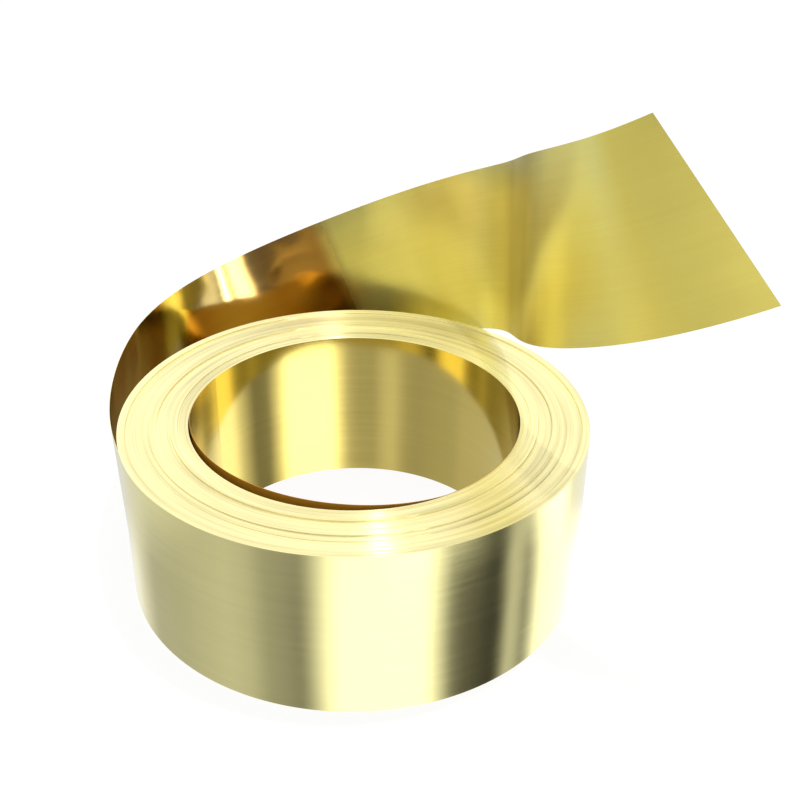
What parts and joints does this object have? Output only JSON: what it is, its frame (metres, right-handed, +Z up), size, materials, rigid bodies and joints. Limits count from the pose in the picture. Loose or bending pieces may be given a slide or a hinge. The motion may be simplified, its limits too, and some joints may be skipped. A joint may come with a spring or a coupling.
{
  "type": "roll of brass foil",
  "caption": "Coil of thin brass strip standing on its end, open bore, with the outer turn sprung loose and rising away in a smooth curl.",
  "frame": {"origin": "on the axis of the bore, level with the end the roll stands on", "axes": "+Z up along the axis of the bore, -Z out of the lower end, -Y towards the front, the loose end on the +X side"},
  "size_m": [0.2632, 0.2467, 0.2398],
  "materials": {
    "brass_foil": "bright rolled, fine concentric turns on the ends"
  },
  "bodies": {
    "root": {"foil_roll": "brass_foil"}
  },
  "joints": []
}
